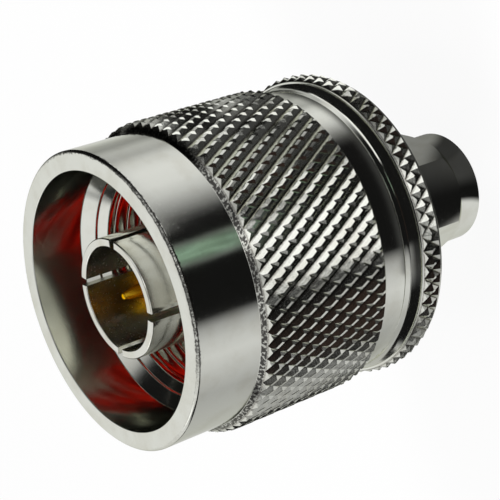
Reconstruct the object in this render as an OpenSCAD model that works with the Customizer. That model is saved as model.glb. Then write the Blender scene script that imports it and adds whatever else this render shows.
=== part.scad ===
// Coaxial adapter with a large plug at one end and a small plug at the other.
// It stands on the end of the small coupling nut, and +Z runs along the common axis
// up to the open mouth of the large coupling nut.

/* [Large coupling nut] */
// Radius of the smooth collars in front of and behind the grip
n_collar_r = 10; // [9.7:0.05:10.6]
// Length of the smooth front collar
n_front_collar_l = 4.77; // [4:0.01:7]
// Length of the knurled grip
n_grip_l = 10.33; // [7:0.01:13]
// Length of the smooth rear collar
n_rear_collar_l = 1.7; // [1.4:0.05:4]
// Height of the knurl's groove bottoms above the collars
n_grip_step = 0.3; // [0.1:0.01:0.4]
// Bevel on the outer edges of the nut
n_edge = 0.15; // [0.05:0.01:0.4]
// Radius of the plain mouth
n_mouth_r = 8.68; // [8.3:0.02:9.2]
// Depth of the plain mouth
n_mouth_l = 3.85; // [2.5:0.05:5]
// Major radius of the internal thread
n_thread_major_r = 7.94; // [7.7:0.01:8.2]
// Minor radius of the internal thread
n_thread_minor_r = 7.43; // [7.3:0.01:7.6]
// Length of the land between the two lead-in cones
n_land_l = 0.25; // [0.1:0.05:0.6]
// Length of the internal thread
n_thread_l = 4.9; // [3.5:0.1:6.5]
// Radius of the relief behind the thread
n_relief_r = 8.05; // [7.7:0.05:8.6]
// Depth of the relief behind the front face of the barrel
n_relief_back = 0.8; // [0.4:0.05:1.2]
// Axial play between the nut and the shoulder behind it
n_nut_gap = 0.1; // [0.05:0.01:0.3]

/* [Knurl] */
// Grooves of each hand around the circumference
knurl_teeth = 68; // [48:4:88]
// Height of the knurl from groove bottom to crest
knurl_depth = 0.3; // [0.2:0.05:0.5]
// Rows of half diamonds along the large nut's grip, of which the two end ones slope down
grip_rows = 12; // [8:2:16]
// Rows of half diamonds along the flange
flange_rows = 2; // [2:2:4]

/* [Adapter body] */
// Radius over the knurl of the flange
flange_r = 10.6; // [10:0.05:11.4]
// Length of the flange
flange_l = 1.76; // [1.3:0.02:3]
// Height of the plain lip along each edge of the flange
flange_lip_l = 0.12; // [0.06:0.01:0.3]
// Depth of the lips below the crests of the flange
flange_lip_drop = 0.12; // [0.08:0.01:0.2]
// Bevel on the rear edge of the flange
flange_edge = 0.1; // [0.05:0.01:0.3]
// Radius of the neck in front of the flange
neck_r = 9.9; // [9.2:0.05:10]
// Length of the neck
neck_l = 1.02; // [1:0.02:1.6]
// Length of the hollow sweep from the neck out to the lip
neck_sweep_l = 0.85; // [0.4:0.05:0.95]
// Radius of the barrel that carries the large nut
barrel_r = 6.9; // [6.6:0.05:7.1]
// Length of the barrel in front of the neck
barrel_l = 5.1; // [4.6:0.05:6]
// Radius of the boss behind the flange
boss_r = 4.6; // [4.2:0.05:6]
// Length of the boss
boss_l = 0.92; // [0.5:0.02:2]
// Radius of the air bore through the web between the two ends
web_bore_r = 3; // [2.5:0.05:3.2]

/* [Large snap ring] */
// Distance of the ring from the front of the neck
n_ring_back = 1.7; // [1.3:0.05:2]
// Thickness of the ring along the axis
n_ring_l = 0.8; // [0.5:0.05:1]
// Depth of its groove in the barrel
n_ring_seat = 0.65; // [0.4:0.05:0.8]
// Height of the ring above the barrel
n_ring_proud = 0.6; // [0.3:0.05:0.7]
// Width of the split
n_ring_split = 1.6; // [0.8:0.1:3]

/* [Large gasket] */
// Outer radius of the gasket
n_gasket_r = 7.15; // [6.6:0.05:7.2]
// Thickness of the gasket
n_gasket_l = 1.5; // [1:0.05:1.7]

/* [Large plug contacts] */
// Radius over the outer contact's tip
sleeve_r = 4.05; // [3.9:0.01:4.2]
// Bore radius of the outer contact
sleeve_bore_r = 3.5; // [3.3:0.01:3.6]
// Depth of the relief behind the tip of the outer contact
sleeve_relief = 0.04; // [0.02:0.01:0.15]
// Length of the tip of the outer contact
sleeve_tip_l = 3.4; // [1.6:0.1:4]
// Bevel on the front edge of the outer contact
sleeve_edge = 0.2; // [0.05:0.01:0.3]
// Distance of the outer contact's front face behind the nut's rim
sleeve_recess = 0.88; // [0.4:0.02:2]
// Width of the spring slots
slot_w = 0.5; // [0.3:0.05:0.8]
// Length of the spring slots
slot_l = 5.5; // [4:0.1:6.5]
// Number of spring slots
slot_count = 4; // [3:1:6]
// Direction of the first slot about the axis
slot_turn = 62; // [0:1:90]
// Radius of the hub that carries the gasket
hub_r = 5; // [4.7:0.05:5.4]
// Length of the hub
hub_l = 1.8; // [1.7:0.05:2.4]
// Radius of the shank pressed into the barrel
n_shank_r = 4.4; // [4.1:0.05:4.6]
// Length of the shank
n_shank_l = 3.2; // [2.6:0.05:3.6]
// Radius of the large centre pin
n_pin_r = 0.8; // [0.7:0.01:0.9]
// Radius of the flat at the tip of the large centre pin
n_pin_tip_r = 0.2; // [0.1:0.01:0.3]
// Length of the pin's taper
n_pin_taper_l = 2.8; // [1.5:0.1:3.5]
// Length of the pin in front of its shoulder
n_pin_l = 4.8; // [3.8:0.1:6]
// Distance of the pin's tip behind the outer contact's front face
n_pin_recess = 0.55; // [0.2:0.05:1.5]
// Radius of the large centre conductor
n_line_r = 1.52; // [1.3:0.01:1.7]
// Length of the large insulator bead
n_bead_l = 3; // [2:0.1:3.2]

/* [Small coupling nut] */
// Width across the flats of the hexagon
hex_af = 8; // [7.6:0.1:9]
// Length of the nut
sma_nut_l = 9; // [8:0.1:10.5]
// Radius of the round front collar
sma_collar_r = 4.05; // [3.8:0.05:4.1]
// Length of the round front collar
sma_collar_l = 1.9; // [1.2:0.1:2.6]
// Length of the cone between the collar and the hexagon's corners
hex_cone_l = 0.75; // [0.4:0.05:1.2]
// Length of the cone at the rear of the hexagon
hex_rear_cone_l = 0.35; // [0.2:0.05:0.8]
// Direction of one corner of the hexagon about the axis
hex_turn = 53; // [0:1:60]
// Bevel on the front edge of the nut
sma_edge = 0.15; // [0.05:0.01:0.3]
// Major radius of the small internal thread
sma_thread_major_r = 3.18; // [3.1:0.01:3.3]
// Minor radius of the small internal thread
sma_thread_minor_r = 2.85; // [2.82:0.01:2.95]
// Length of the small internal thread with its lead-in
sma_thread_l = 4; // [3.4:0.05:4.05]
// Radius of the relief behind the small thread
sma_relief_r = 3.25; // [3.1:0.01:3.4]
// Depth of the relief behind the front face of the small barrel
sma_relief_back = 0.7; // [0.4:0.05:1]
// Axial play between the small nut and the boss
sma_nut_gap = 0.2; // [0.1:0.05:0.5]

/* [Small plug body] */
// Depth of the small plug's mating face inside its nut
sma_face_depth = 3.4; // [2.9:0.05:3.6]
// Radius of the tube behind the mating face
sma_tube_r = 2.28; // [2.2:0.01:2.35]
// Length of the tube
sma_tube_l = 1.5; // [1.2:0.05:1.8]
// Radius of the barrel that carries the small nut
sma_barrel_r = 2.7; // [2.6:0.01:2.76]
// Bore radius of the small plug
sma_bore_r = 2.05; // [1.95:0.01:2.1]
// Radius of the shank pressed into the adapter body
sma_shank_r = 3.4; // [3.1:0.05:3.8]
// Length of the shank
sma_shank_l = 4.6; // [3.8:0.05:4.8]
// Radius of the small centre conductor
sma_line_r = 0.635; // [0.6:0.005:0.7]
// Radius of the small centre pin
sma_pin_r = 0.46; // [0.42:0.01:0.5]
// Length of the small centre pin
sma_pin_l = 2.2; // [1.6:0.05:2.6]
// Length of the small pin's tapered tip
sma_pin_taper_l = 0.5; // [0.3:0.05:0.8]
// Length of the small conductor's tail inside the large one
sma_tail_l = 1.6; // [1:0.1:2.2]
// Outer radius of the small gasket
sma_gasket_r = 2.74; // [2.6:0.01:2.75]
// Thickness of the small gasket
sma_gasket_l = 0.8; // [0.5:0.05:1]

/* [Small snap ring] */
// Distance of the small ring behind the front face of the barrel
sma_ring_back = 1.8; // [1.6:0.05:2.2]
// Thickness of the small ring along the axis
sma_ring_l = 0.5; // [0.4:0.05:0.7]
// Depth of its groove in the small barrel
sma_ring_seat = 0.3; // [0.2:0.01:0.35]
// Height of the small ring above the barrel
sma_ring_proud = 0.38; // [0.25:0.01:0.4]
// Width of the small ring's split
sma_ring_split = 0.8; // [0.5:0.1:1.5]

/* [Fits] */
// Radial clearance between each nut and its barrel
nut_run = 0.05; // [0.03:0.005:0.09]
// Clearance of each snap ring in the groove of its nut
ring_run = 0.1; // [0.05:0.01:0.15]
// Radial clearance of parts that seat without moving
seat_fit = 0.02; // [0.01:0.005:0.04]

/* [Hidden] */
$fn = 96;

// Levels along the axis, from the small nut's end upwards
boss_z = sma_nut_l + sma_nut_gap;
flange_z0 = boss_z + boss_l;
flange_z1 = flange_z0 + flange_l;
neck_z1 = flange_z1 + neck_l;
n_nut_z0 = neck_z1 + n_nut_gap;
grip_z0 = n_nut_z0 + n_rear_collar_l;
grip_z1 = grip_z0 + n_grip_l;
rim_z = grip_z1 + n_front_collar_l;
barrel_z1 = neck_z1 + barrel_l;

// Levels inside the large nut, from the mouth down
mouth_z = rim_z - n_mouth_l;
land_z1 = mouth_z - (n_mouth_r - n_thread_major_r);
land_z0 = land_z1 - n_land_l;
thread_z1 = land_z0 - (n_thread_major_r - n_thread_minor_r);
thread_z0 = thread_z1 - n_thread_l;
relief_z0 = barrel_z1 - n_relief_back;
n_ring_z0 = neck_z1 + n_ring_back;

// Levels of the large plug's contacts
sleeve_z1 = rim_z - sleeve_recess;
hub_z1 = barrel_z1 + hub_l;
n_shank_z0 = barrel_z1 - n_shank_l;
n_pin_z1 = sleeve_z1 - n_pin_recess;
n_shoulder_z = n_pin_z1 - n_pin_l;

// Levels of the small plug
sma_barrel_z0 = sma_face_depth + sma_tube_l;
sma_shank_z1 = boss_z + sma_shank_l;
sma_relief_z1 = sma_barrel_z0 + sma_relief_back;
sma_ring_z0 = sma_barrel_z0 + sma_ring_back;
sma_lead = sma_thread_major_r - sma_thread_minor_r;
line_gap = 0.2;
n_line_z0 = sma_shank_z1 + line_gap;
sma_tail_z1 = n_line_z0 + sma_tail_l;

// Depth that a knurled band reaches into the turned core under it
knurl_bite = 0.3;
// Depth of the grip's end rows below the collars, into which their slopes run
slope_bite = 0.02;
grip_root_r = n_collar_r + n_grip_step;
hex_corner_r = hex_af / 2 / cos(30);
// Length by which cutting tools stand past the faces that they cut
cut_past = 1;

// Solid of revolution from a list of [radius, height] points
module turned(profile) {
    rotate_extrude() polygon(profile);
}

// Plain tube between two heights
module tube(r_out, r_in, z0, z1) {
    turned([[r_in, z0], [r_out, z0], [r_out, z1], [r_in, z1]]);
}

// Ring of diamond pyramids: crests and groove crossings alternate along and around it.
// Its end rows are plain circles of radius end_r, or have teeth too where end_r is 0.
module knurled_band(root_r, crest_r, end_r, inner_r, z0, z1, rows, first_crest) {
    steps = 2 * knurl_teeth;
    function plain(j) = end_r > 0 && (j == 0 || j == rows);
    // Point on the outside at one row and step
    function outer(j, k) =
        let (
            tooth_r = (j + k + first_crest) % 2 == 0 ? crest_r : root_r,
            r = plain(j) ? end_r : tooth_r,
            a = k * 360 / steps
        )
        [r * cos(a), r * sin(a), z0 + (z1 - z0) * j / rows];
    // Point on the inside, which lies buried in the turned core
    function inner(z, k) = [inner_r * cos(k * 360 / steps), inner_r * sin(k * 360 / steps), z];
    function at(j, k) = j * steps + k % steps;
    function low(k) = at(rows + 1, k);
    function high(k) = at(rows + 2, k);
    points = [
        for (j = [0:rows]) for (k = [0:steps - 1]) outer(j, k),
        for (z = [z0, z1]) for (k = [0:steps - 1]) inner(z, k)
    ];
    // Each cell folds along its groove, from crossing to crossing
    flanks = [
        for (j = [0:rows - 1]) for (k = [0:steps - 1])
            each (j + k + first_crest) % 2 == 0
                ? [
                    [at(j, k), at(j + 1, k), at(j, k + 1)],
                    [at(j, k + 1), at(j + 1, k), at(j + 1, k + 1)]
                ]
                : [
                    [at(j, k), at(j + 1, k + 1), at(j, k + 1)],
                    [at(j, k), at(j + 1, k), at(j + 1, k + 1)]
                ]
    ];
    ends = [
        for (k = [0:steps - 1]) each [
            [at(0, k), at(0, k + 1), low(k + 1), low(k)],
            [at(rows, k), high(k), high(k + 1), at(rows, k + 1)],
            [low(k), low(k + 1), high(k + 1), high(k)]
        ]
    ];
    polyhedron(points, concat(flanks, ends));
}

// Snap ring with a split, seated in its barrel's groove
module snap_ring(carrier_r, seat, proud, z0, l, split) {
    r_in = carrier_r - seat + seat_fit;
    r_out = carrier_r + proud;
    difference() {
        tube(r_out, r_in, z0, z0 + l);
        translate([0, -split / 2, z0 - cut_past])
            cube([r_out + cut_past, split, l + 2 * cut_past]);
    }
}

// Groove for a snap ring, as a profile from the carrier's radius down to its seat
function ring_groove(carrier_r, seat, z0, l) = [
    [carrier_r, z0 + l + seat_fit],
    [carrier_r - seat, z0 + l + seat_fit],
    [carrier_r - seat, z0 - seat_fit],
    [carrier_r, z0 - seat_fit]
];

module n_coupling_nut() {
    bore_r = barrel_r + nut_run;
    groove_r = barrel_r + n_ring_proud + ring_run;
    groove_z0 = n_ring_z0 - ring_run;
    groove_z1 = n_ring_z0 + n_ring_l + ring_run;
    color("silver") union() {
        turned([
            [bore_r, n_nut_z0],
            [n_collar_r - n_edge, n_nut_z0],
            [n_collar_r, n_nut_z0 + n_edge],
            [n_collar_r, rim_z - n_edge],
            [n_collar_r - n_edge, rim_z],
            [n_mouth_r, rim_z],
            [n_mouth_r, mouth_z],
            [n_thread_major_r, land_z1],
            [n_thread_major_r, land_z0],
            [n_thread_minor_r, thread_z1],
            [n_thread_minor_r, thread_z0],
            [n_relief_r, thread_z0],
            [n_relief_r, relief_z0],
            [bore_r, relief_z0],
            [bore_r, groove_z1],
            [groove_r, groove_z1],
            [groove_r, groove_z0],
            [bore_r, groove_z0]
        ]);
        knurled_band(
            grip_root_r, grip_root_r + knurl_depth, n_collar_r - slope_bite,
            n_collar_r - knurl_bite, grip_z0, grip_z1, grip_rows, 0
        );
    }
}

module n_snap_ring() {
    color("gray") snap_ring(
        barrel_r, n_ring_seat, n_ring_proud, n_ring_z0, n_ring_l, n_ring_split
    );
}

module n_gasket() {
    color("firebrick") tube(n_gasket_r, hub_r + seat_fit, barrel_z1, barrel_z1 + n_gasket_l);
}

module adapter_body() {
    lip_r = flange_r - flange_lip_drop;
    root_r = flange_r - knurl_depth;
    core_r = root_r - n_grip_step;
    // Heights between which the knurl runs, from lip to lip
    rear_lip_z1 = flange_z0 + flange_edge + flange_lip_l;
    front_lip_z0 = flange_z1 - flange_lip_l;
    sweep = lip_r - neck_r;
    sweep_steps = 6;
    color("silver") union() {
        turned(concat(
            [
                [web_bore_r, sma_shank_z1],
                [sma_shank_r + seat_fit, sma_shank_z1],
                [sma_shank_r + seat_fit, boss_z],
                [boss_r, boss_z],
                [boss_r, flange_z0],
                [lip_r - flange_edge, flange_z0],
                [lip_r, flange_z0 + flange_edge],
                [lip_r, rear_lip_z1],
                [core_r, rear_lip_z1],
                [core_r, front_lip_z0],
                [lip_r, front_lip_z0]
            ],
            [
                for (i = [0:sweep_steps])
                    let (part = i / sweep_steps)
                    [
                        neck_r + sweep * pow(1 - part, 2),
                        flange_z1 + neck_sweep_l * part
                    ]
            ],
            [
                [neck_r, neck_z1],
                [barrel_r, neck_z1]
            ],
            [
                for (p = [3:-1:0])
                    ring_groove(barrel_r, n_ring_seat, n_ring_z0, n_ring_l)[p]
            ],
            [
                [barrel_r, barrel_z1],
                [n_shank_r + seat_fit, barrel_z1],
                [n_shank_r + seat_fit, n_shank_z0],
                [web_bore_r, n_shank_z0]
            ]
        ));
        knurled_band(
            root_r, flange_r, 0, core_r - knurl_bite,
            rear_lip_z1, front_lip_z0, flange_rows, 1
        );
    }
}

module n_outer_contact() {
    relief_r = sleeve_r - sleeve_relief;
    color("lightgray") difference() {
        turned([
            [sleeve_bore_r, n_shank_z0],
            [n_shank_r, n_shank_z0],
            [n_shank_r, barrel_z1],
            [hub_r, barrel_z1],
            [hub_r, hub_z1],
            [relief_r, hub_z1],
            [relief_r, sleeve_z1 - sleeve_tip_l - sleeve_relief],
            [sleeve_r, sleeve_z1 - sleeve_tip_l],
            [sleeve_r, sleeve_z1 - sleeve_edge],
            [sleeve_r - sleeve_edge, sleeve_z1],
            [sleeve_bore_r, sleeve_z1]
        ]);
        for (i = [0:slot_count - 1])
            rotate([0, 0, slot_turn + i * 360 / slot_count])
                translate([0, -slot_w / 2, sleeve_z1 - slot_l])
                    cube([sleeve_r + cut_past, slot_w, slot_l + cut_past]);
    }
}

module n_insulator() {
    bead_z0 = n_shank_z0;
    color("white") tube(
        sleeve_bore_r - seat_fit, n_line_r + seat_fit, bead_z0, bead_z0 + n_bead_l
    );
}

module n_center_contact() {
    socket_r = sma_line_r + seat_fit;
    socket_z1 = sma_tail_z1 + line_gap;
    color("gold") turned([
        [socket_r, n_line_z0],
        [n_line_r, n_line_z0],
        [n_line_r, n_shoulder_z],
        [n_pin_r, n_shoulder_z],
        [n_pin_r, n_pin_z1 - n_pin_taper_l],
        [n_pin_tip_r, n_pin_z1],
        [0, n_pin_z1],
        [0, socket_z1],
        [socket_r, socket_z1]
    ]);
}

module sma_coupling_nut() {
    bore_r = sma_barrel_r + nut_run;
    groove_r = sma_barrel_r + sma_ring_proud + ring_run;
    groove_z0 = sma_ring_z0 - ring_run;
    groove_z1 = sma_ring_z0 + sma_ring_l + ring_run;
    hex_z0 = sma_collar_l + hex_cone_l;
    color("silver") union() {
        // Hexagon with its corners turned down to a cone at both ends
        intersection() {
            difference() {
                rotate([0, 0, hex_turn]) cylinder(r = hex_corner_r, h = sma_nut_l, $fn = 6);
                translate([0, 0, -cut_past])
                    cylinder(r = bore_r, h = sma_nut_l + 2 * cut_past);
                translate([0, 0, -cut_past])
                    cylinder(r = sma_relief_r, h = sma_relief_z1 + cut_past);
                translate([0, 0, groove_z0])
                    cylinder(r = groove_r, h = groove_z1 - groove_z0);
            }
            turned([
                [0, sma_collar_l],
                [sma_collar_r, sma_collar_l],
                [hex_corner_r + hex_cone_l / 100, hex_z0],
                [hex_corner_r + hex_cone_l / 100, sma_nut_l - hex_rear_cone_l],
                [sma_collar_r, sma_nut_l],
                [0, sma_nut_l]
            ]);
        }
        // Round front collar with the thread
        turned([
            [sma_thread_major_r, 0],
            [sma_collar_r - sma_edge, 0],
            [sma_collar_r, sma_edge],
            [sma_collar_r, sma_collar_l],
            [sma_relief_r, sma_collar_l],
            [sma_relief_r, sma_thread_l],
            [sma_thread_minor_r, sma_thread_l],
            [sma_thread_minor_r, sma_lead]
        ]);
    }
}

module sma_snap_ring() {
    color("gray") snap_ring(
        sma_barrel_r, sma_ring_seat, sma_ring_proud, sma_ring_z0, sma_ring_l, sma_ring_split
    );
}

module sma_gasket() {
    color("firebrick") tube(
        sma_gasket_r, sma_tube_r + seat_fit, sma_barrel_z0 - sma_gasket_l, sma_barrel_z0
    );
}

module sma_body() {
    color("silver") turned(concat(
        [
            [sma_bore_r + seat_fit, sma_face_depth],
            [sma_tube_r, sma_face_depth],
            [sma_tube_r, sma_barrel_z0],
            [sma_barrel_r, sma_barrel_z0]
        ],
        [
            for (p = [3:-1:0])
                ring_groove(sma_barrel_r, sma_ring_seat, sma_ring_z0, sma_ring_l)[p]
        ],
        [
            [sma_barrel_r, boss_z],
            [sma_shank_r, boss_z],
            [sma_shank_r, sma_shank_z1],
            [sma_bore_r + seat_fit, sma_shank_z1]
        ]
    ));
}

module sma_insulator() {
    color("white") tube(sma_bore_r, sma_line_r + seat_fit, sma_face_depth, sma_shank_z1);
}

module sma_center_contact() {
    pin_z0 = sma_face_depth - sma_pin_l;
    tip_r = sma_pin_r / 2;
    color("gold") turned([
        [0, pin_z0],
        [tip_r, pin_z0],
        [sma_pin_r, pin_z0 + sma_pin_taper_l],
        [sma_pin_r, sma_face_depth],
        [sma_line_r, sma_face_depth],
        [sma_line_r, sma_tail_z1],
        [0, sma_tail_z1]
    ]);
}

n_coupling_nut();
n_snap_ring();
n_gasket();
adapter_body();
n_outer_contact();
n_insulator();
n_center_contact();
sma_coupling_nut();
sma_snap_ring();
sma_gasket();
sma_body();
sma_insulator();
sma_center_contact();
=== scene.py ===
"""Looks of a coaxial adapter: a large knurled plug above a small hexagonal one.

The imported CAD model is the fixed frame. Each sub-assembly below is a class that builds its own
pieces with mesh operators, in millimetres, dresses them and lets them ride on the CAD bodies.
"""

import logging
import math
from dataclasses import dataclass, field, replace
from enum import Enum
from typing import NamedTuple

import bmesh
import bpy
from bmesh.types import BMEdge, BMesh, BMVert
from bpy.types import Material, Node, NodeSocket, NodeTree, Object
from mathutils import Matrix, Vector


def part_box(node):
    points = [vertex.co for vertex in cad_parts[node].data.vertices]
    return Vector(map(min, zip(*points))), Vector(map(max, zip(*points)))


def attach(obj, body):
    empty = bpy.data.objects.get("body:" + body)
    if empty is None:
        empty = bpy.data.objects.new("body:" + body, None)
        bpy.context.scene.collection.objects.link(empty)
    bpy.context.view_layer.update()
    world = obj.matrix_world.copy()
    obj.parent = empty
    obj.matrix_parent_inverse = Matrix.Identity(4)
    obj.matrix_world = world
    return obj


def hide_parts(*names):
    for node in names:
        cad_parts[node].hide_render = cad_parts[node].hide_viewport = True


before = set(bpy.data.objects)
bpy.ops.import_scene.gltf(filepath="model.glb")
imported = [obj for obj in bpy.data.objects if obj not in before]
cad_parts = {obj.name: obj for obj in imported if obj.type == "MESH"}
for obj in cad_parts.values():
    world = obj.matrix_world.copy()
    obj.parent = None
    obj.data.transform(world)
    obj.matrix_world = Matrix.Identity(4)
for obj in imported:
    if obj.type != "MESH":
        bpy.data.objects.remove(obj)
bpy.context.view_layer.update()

LOG = logging.getLogger("adapter")
MM = 0.001
FULL_TURN = 2 * math.pi
# Faces that meet at less than this angle shade as one smooth surface
SMOOTH_ANGLE = math.radians(30)
# Distance, in millimetres, below which two vertices are one
WELD = 0.0004
# Gap, in millimetres, between a piece and the one that it is pressed onto
PRESS_GAP = 0.02
KNURL_TEETH = 68
# Steps of a full turn: fine ones are a multiple of the teeth, so that ends meet the knurl evenly
FINE_STEPS = 3 * KNURL_TEETH
COARSE_STEPS = 120
PIN_STEPS = 64
# Steps across the rounding of an outline's corner, and of an edge
CORNER_STEPS = 3
EDGE_STEPS = 2
WHITE = (1, 1, 1, 1)

Colour = tuple[float, float, float]
Outline = list[tuple[float, ...]]
Levels = tuple[tuple[float, float], ...]
Number = float | NodeSocket


class Body(str, Enum):
    """CAD bodies that pieces ride on."""

    FIXED = "body"
    LARGE_NUT = "n_nut"
    SMALL_NUT = "sma_nut"


class Slot(str, Enum):
    """Material slots of the record."""

    NICKEL = "nickel_plate"
    CONTACT = "contact_plate"
    GOLD = "gold_plate"
    INSULATOR = "white_insulator"
    SILICONE = "red_silicone"
    BRONZE = "spring_bronze"


class Rounded(str, Enum):
    """What a rounding works on."""

    CORNERS = "VERTICES"
    EDGES = "EDGES"


class Corner(NamedTuple):
    """A corner of a turned outline, in millimetres: radius, height and reach of its rounding."""

    r: float
    z: float
    ease: float = 0.0


class Extent(NamedTuple):
    """Largest radius and height range of a CAD node, in millimetres."""

    r: float
    z0: float
    z1: float


def extent(node: str) -> Extent:
    """Measures a CAD node's largest reach along X and its lowest and highest point."""
    low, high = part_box(node)
    return Extent(high.x / MM, low.z / MM, high.z / MM)


def everything(bm: BMesh) -> list:
    """Lists a mesh's vertices, edges and faces."""
    return bm.verts[:] + bm.edges[:] + bm.faces[:]


def weld(bm: BMesh) -> None:
    """Merges vertices that lie on each other."""
    bmesh.ops.remove_doubles(bm, verts=bm.verts[:], dist=WELD)


def round_off(bm: BMesh, geom: list, reach: float, segments: int, what: Rounded) -> None:
    """Rounds corners or edges.

    Args:
        bm: Mesh that they are in.
        geom: The corners' vertices, or the edges.
        reach: Reach of the rounding.
        segments: Steps across the rounding.
        what: Whether corners or edges are rounded.
    """
    bmesh.ops.bevel(
        bm,
        geom=geom,
        offset=reach,
        offset_type="OFFSET",
        segments=segments,
        profile=0.5,
        affect=what.value,
        material=-1,
        clamp_overlap=True,
    )


def cut(bm: BMesh, at: tuple | Vector, normal: tuple | Vector, near: float = WELD) -> list[BMEdge]:
    """Cuts away what lies beyond a plane.

    Args:
        bm: Mesh to cut.
        at: A point of the plane.
        normal: Direction towards the side that goes.
        near: Distance below which a vertex counts as on the plane.

    Returns:
        The edges along the cut.
    """
    made = bmesh.ops.bisect_plane(
        bm, geom=everything(bm), dist=near, plane_co=at, plane_no=normal, clear_outer=True
    )
    return [g for g in made["geom_cut"] if isinstance(g, BMEdge)]


def spin(
    bm: BMesh,
    geom: list,
    angle: float,
    steps: int,
    rise: float = 0.0,
    use_merge: bool = False,
    use_duplicate: bool = False,
) -> list:
    """Spins geometry about the Z axis.

    Args:
        bm: Mesh that holds the geometry.
        geom: Vertices, edges and faces to spin.
        angle: Angle of the whole spin, in radians.
        steps: Steps of the spin.
        rise: Height that each step gains.
        use_merge: Whether the end of a full turn joins its start.
        use_duplicate: Whether each step is a copy instead of an extrusion.

    Returns:
        The geometry of the last step.
    """
    made = bmesh.ops.spin(
        bm,
        geom=geom,
        cent=(0, 0, 0),
        axis=(0, 0, 1),
        dvec=(0, 0, rise),
        angle=angle,
        steps=steps,
        use_merge=use_merge,
        use_normal_flip=False,
        use_duplicate=use_duplicate,
    )
    return made["geom_last"]


def draw(outline: Outline, closed: bool) -> BMesh:
    """Draws an outline with eased corners, ready to be spun.

    Args:
        outline: The values of each corner, in order along the outline.
        closed: Whether the last corner joins the first one.

    Returns:
        The outline as edges in the XZ plane.
    """
    corners = [Corner(*values) for values in outline]
    bm = bmesh.new()
    verts = [bm.verts.new((c.r, 0, c.z)) for c in corners]
    ends = verts[1:] + verts[:1] if closed else verts[1:]
    for a, b in zip(verts, ends):
        bm.edges.new((a, b))
    for ease in sorted({c.ease for c in corners if c.ease > 0}):
        chosen = [v for v, c in zip(verts, corners) if c.ease == ease]
        round_off(bm, chosen, ease, CORNER_STEPS, Rounded.CORNERS)
    return bm


def lathe(outline: Outline, closed: bool = True, steps: int = COARSE_STEPS) -> BMesh:
    """Turns an outline about the Z axis.

    Args:
        outline: The values of each corner, in order along the outline.
        closed: Whether the last corner joins the first one.
        steps: Faces around a full turn.

    Returns:
        The turned mesh, with eased corners.
    """
    bm = draw(outline, closed)
    spin(bm, bm.verts[:] + bm.edges[:], FULL_TURN, steps, use_merge=True)
    weld(bm)
    return bm


def washer(inner_r: float, whole: Extent, *eases: float) -> BMesh:
    """Turns a ring with a plain section.

    Args:
        inner_r: Radius of its hole.
        whole: Size of its CAD node.
        *eases: Rounding at the bottom inside and outside, and at the top outside and inside.

    Returns:
        The ring.
    """
    places = (inner_r, whole.z0), (whole.r, whole.z0), (whole.r, whole.z1), (inner_r, whole.z1)
    return lathe([(*place, ease) for place, ease in zip(places, eases)])


def join(bm: BMesh, other: BMesh) -> None:
    """Adds another mesh to a mesh and frees it.

    Args:
        bm: Mesh that grows.
        other: Mesh that goes into it.
    """
    carrier = bpy.data.meshes.new("carrier")
    other.to_mesh(carrier)
    other.free()
    bm.from_mesh(carrier)
    bpy.data.meshes.remove(carrier)


def bridge_between(bm: BMesh, z0: float, z1: float) -> None:
    """Joins the two open rims that lie in one range of heights.

    Args:
        bm: Mesh with the open rims.
        z0: Height of the lower rim.
        z1: Height of the upper rim.
    """
    low, high = z0 - WELD, z1 + WELD
    rims = [e for e in bm.edges if e.is_boundary and all(low < v.co.z < high for v in e.verts)]
    bmesh.ops.bridge_loops(bm, edges=rims)


def thread(crest_r: float, depth: float, pitch: float, gap: float, z0: float, z1: float) -> BMesh:
    """Makes the ridge of a right-handed internal thread with wide crests.

    Args:
        crest_r: Radius of the crest, which faces the axis.
        depth: Depth of the groove between two turns.
        pitch: Rise of one turn.
        gap: Width of the groove at the crests.
        z0: Height of the ridge's middle at its lower end.
        z1: Height of the ridge's middle at its upper end.

    Returns:
        The closed ridge, sunk a little into its wall.
    """
    sink, spare, steps_per_turn = 0.03, 0.01, 96
    base_r = crest_r + depth + sink
    crest, base = (pitch - gap) / 2, pitch / 2 - spare
    bm = bmesh.new()
    section = [(base_r, -base), (crest_r, -crest), (crest_r, crest), (base_r, base)]
    bm.faces.new([bm.verts.new((r, 0, z0 + z)) for r, z in section])
    tips = [v for v in bm.verts if v.co.x < (crest_r + base_r) / 2]
    round_off(bm, tips, gap / 6, EDGE_STEPS, Rounded.CORNERS)
    turns = (z1 - z0) / pitch
    steps = round(turns * steps_per_turn)
    spin(bm, everything(bm), turns * FULL_TURN, steps, rise=(z1 - z0) / steps)
    bmesh.ops.recalc_face_normals(bm, faces=bm.faces[:])
    return bm


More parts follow.
